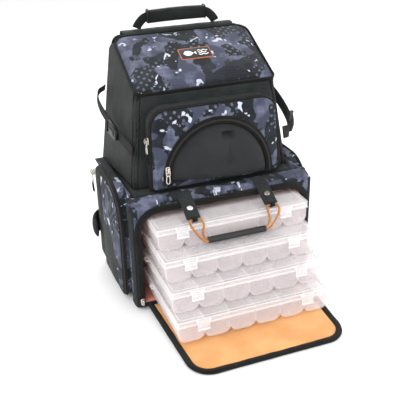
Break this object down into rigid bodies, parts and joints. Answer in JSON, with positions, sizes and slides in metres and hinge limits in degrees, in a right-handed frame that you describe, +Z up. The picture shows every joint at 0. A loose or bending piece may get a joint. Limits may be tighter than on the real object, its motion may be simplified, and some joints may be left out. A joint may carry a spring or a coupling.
{
  "type": "tackle backpack",
  "caption": "Soft camouflage fishing backpack with a hinged lid, domed front pocket, side pockets, and a front bay whose flap lies open under sliding clear compartment trays.",
  "frame": {"origin": "centre of the bounding box on the floor plane the bag stands on", "axes": "+X to the right of someone facing the bag, +Y from the flap towards the harness, +Z up"},
  "size_m": [0.386, 0.4704, 0.47],
  "materials": {
    "camo_fabric": "woven camouflage print",
    "black_fabric": "matt woven",
    "moulded_fabric": "moulded foam faced with dark grey fabric",
    "orange_lining": "light coated lining",
    "binding": "woven tape",
    "webbing": "ribbed webbing",
    "buckle_plastic": "satin",
    "frosted_plastic": "frosted clear",
    "badge": "matt",
    "snap_metal": "bright",
    "orange_cord": "braided",
    "grip_rubber": "matt",
    "zip_metal": "satin"
  },
  "bodies": {
    "bag": {"bottom_panel": "black_fabric", "lower_sides": "camo_fabric", "front_frame": "camo_fabric", "opening_binding": "binding", "bay_lining": "orange_lining", "bay_ceiling": "black_fabric", "upper_shell": "black_fabric", "back_panel": "black_fabric", "top_band": "black_fabric", "pocket_gusset": "black_fabric", "side_pockets": "camo_fabric", "flap_root": "orange_lining", "zip_sliders": "zip_metal", "shoulder_straps": "black_fabric", "strap_webbing": "webbing", "harness_buckles": "buckle_plastic", "sternum_strap": "webbing", "lumbar_pad": "black_fabric", "compression_straps": "webbing", "compression_buckles": "buckle_plastic", "handle_tabs": "black_fabric", "tab_snaps": "snap_metal"},
    "lid": {"lid": "camo_fabric", "lid_badge": "badge"},
    "pocket_panel": {"pocket_face": "camo_fabric", "dome_zip": "binding"},
    "dome": {"dome_cover": "moulded_fabric"},
    "right_cover": {"side_cover_right": "camo_fabric"},
    "left_cover": {"side_cover_left": "camo_fabric"},
    "haul_loop": {"haul_strap": "webbing", "haul_sleeve": "black_fabric"},
    "flap_end": {"flap_end": "orange_lining", "flap_end_binding": "binding"},
    "pull_grip": {"pull_cord_left": "orange_cord", "pull_cord_right": "orange_cord", "grip_tube": "grip_rubber"},
    "right_wing": {"hip_wing_right": "black_fabric"},
    "left_wing": {"hip_wing_left": "black_fabric"},
    "pocket_slider": {"pocket_slider": "zip_metal"},
    "pocket_pull": {"pocket_pull": "zip_metal"},
    "dome_pull": {"dome_pull": "zip_metal"},
    "lid_pull": {"lid_pull": "zip_metal"},
    "right_pull": {"side_pull_right": "zip_metal"},
    "left_pull": {"side_pull_left": "zip_metal"},
    "tray1": {"tray1_base": "frosted_plastic", "tray1_lid": "frosted_plastic", "tray1_dividers": "frosted_plastic"},
    "tray1_latches": {"tray1_latches": "frosted_plastic"},
    "tray2": {"tray2_base": "frosted_plastic", "tray2_lid": "frosted_plastic", "tray2_dividers": "frosted_plastic"},
    "tray2_latches": {"tray2_latches": "frosted_plastic"},
    "tray3": {"tray3_base": "frosted_plastic", "tray3_lid": "frosted_plastic", "tray3_dividers": "frosted_plastic"},
    "tray3_latches": {"tray3_latches": "frosted_plastic"},
    "tray4": {"tray4_base": "frosted_plastic", "tray4_lid": "frosted_plastic", "tray4_dividers": "frosted_plastic"},
    "tray4_latches": {"tray4_latches": "frosted_plastic"}
  },
  "joints": [
    {"name": "lid_hinge", "type": "hinge", "parent": "bag", "child": "lid", "pos_m": [0, 0.16893, 0.43602], "axis": [-1, 0, 0], "range_deg": [0, 110]},
    {"name": "pocket_panel_fold", "type": "hinge", "parent": "bag", "child": "pocket_panel", "pos_m": [0, -0.003, 0.21], "axis": [1, 0, 0], "range_deg": [0, 32]},
    {"name": "dome_fold", "type": "hinge", "parent": "pocket_panel", "child": "dome", "pos_m": [0.00004, -0.00285, 0.22261], "axis": [-0.9981, 0.0036, 0.0609], "range_deg": [-25, 0]},
    {"name": "right_cover_swing", "type": "hinge", "parent": "bag", "child": "right_cover", "pos_m": [0.1801, 0.1273, 0.113], "axis": [0, 0, 1], "range_deg": [0, 70]},
    {"name": "left_cover_swing", "type": "hinge", "parent": "bag", "child": "left_cover", "pos_m": [-0.1801, 0.1273, 0.113], "axis": [0, 0, -1], "range_deg": [0, 70]},
    {"name": "haul_fold", "type": "hinge", "parent": "bag", "child": "haul_loop", "pos_m": [0, 0.192, 0.4402], "axis": [-1, 0, 0], "range_deg": [-40, 40]},
    {"name": "flap_fold", "type": "hinge", "parent": "bag", "child": "flap_end", "pos_m": [0, -0.171, 0.0086], "axis": [-1, 0, 0], "range_deg": [0, 80]},
    {"name": "grip_swing", "type": "hinge", "parent": "bag", "child": "pull_grip", "pos_m": [0, -0.07, 0.182], "axis": [1, 0, 0], "range_deg": [-100, 0]},
    {"name": "tray1_slide", "type": "slide", "parent": "bag", "child": "tray1", "axis": [0, 1, 0], "range_m": [0, 0.054]},
    {"name": "tray2_slide", "type": "slide", "parent": "bag", "child": "tray2", "axis": [0, 1, 0], "range_m": [-0.04, 0.088]},
    {"name": "tray3_slide", "type": "slide", "parent": "bag", "child": "tray3", "axis": [0, 1, 0], "range_m": [-0.04, 0.117]},
    {"name": "tray4_slide", "type": "slide", "parent": "bag", "child": "tray4", "axis": [0, 1, 0], "range_m": [-0.04, 0.142]},
    {"name": "tray1_latch_turn", "type": "hinge", "parent": "tray1", "child": "tray1_latches", "pos_m": [0.093, -0.0769, 0.1741], "axis": [1, 0, 0], "range_deg": [-100, 0]},
    {"name": "tray2_latch_turn", "type": "hinge", "parent": "tray2", "child": "tray2_latches", "pos_m": [0.093, -0.1109, 0.1336], "axis": [1, 0, 0], "range_deg": [-100, 0]},
    {"name": "tray3_latch_turn", "type": "hinge", "parent": "tray3", "child": "tray3_latches", "pos_m": [0.093, -0.1399, 0.0931], "axis": [1, 0, 0], "range_deg": [-100, 0]},
    {"name": "tray4_latch_turn", "type": "hinge", "parent": "tray4", "child": "tray4_latches", "pos_m": [0.093, -0.1649, 0.0526], "axis": [1, 0, 0], "range_deg": [-100, 0]},
    {"name": "right_wing_swing", "type": "hinge", "parent": "bag", "child": "right_wing", "pos_m": [0.1524, 0.2011, 0.076], "axis": [0, 0, 1], "range_deg": [0, 70]},
    {"name": "left_wing_swing", "type": "hinge", "parent": "bag", "child": "left_wing", "pos_m": [-0.1524, 0.2011, 0.076], "axis": [0, 0, -1], "range_deg": [0, 70]},
    {"name": "pocket_slider_run", "type": "slide", "parent": "bag", "child": "pocket_slider", "axis": [0.0367, 0.0593, 0.9976], "range_m": [-0.06, 0.012]},
    {"name": "pocket_pull_swing", "type": "hinge", "parent": "pocket_slider", "child": "pocket_pull", "pos_m": [-0.1199, 0.01499, 0.29694], "axis": [0, 0.9982, -0.0593], "range_deg": [0, 75]},
    {"name": "dome_pull_swing", "type": "hinge", "parent": "pocket_panel", "child": "dome_pull", "pos_m": [-0.09249, -0.01223, 0.25017], "axis": [-0.9981, 0.0036, 0.0609], "range_deg": [0, 75]},
    {"name": "lid_pull_swing", "type": "hinge", "parent": "bag", "child": "lid_pull", "pos_m": [0.13198, 0.063, 0.366], "axis": [0, -1, 0], "range_deg": [0, 75]},
    {"name": "right_pull_swing", "type": "hinge", "parent": "bag", "child": "right_pull", "pos_m": [0.1856, 0.155, 0.19885], "axis": [0, -1, 0], "range_deg": [0, 75]},
    {"name": "left_pull_swing", "type": "hinge", "parent": "bag", "child": "left_pull", "pos_m": [-0.1856, 0.155, 0.19885], "axis": [0, 1, 0], "range_deg": [0, 75]}
  ]
}
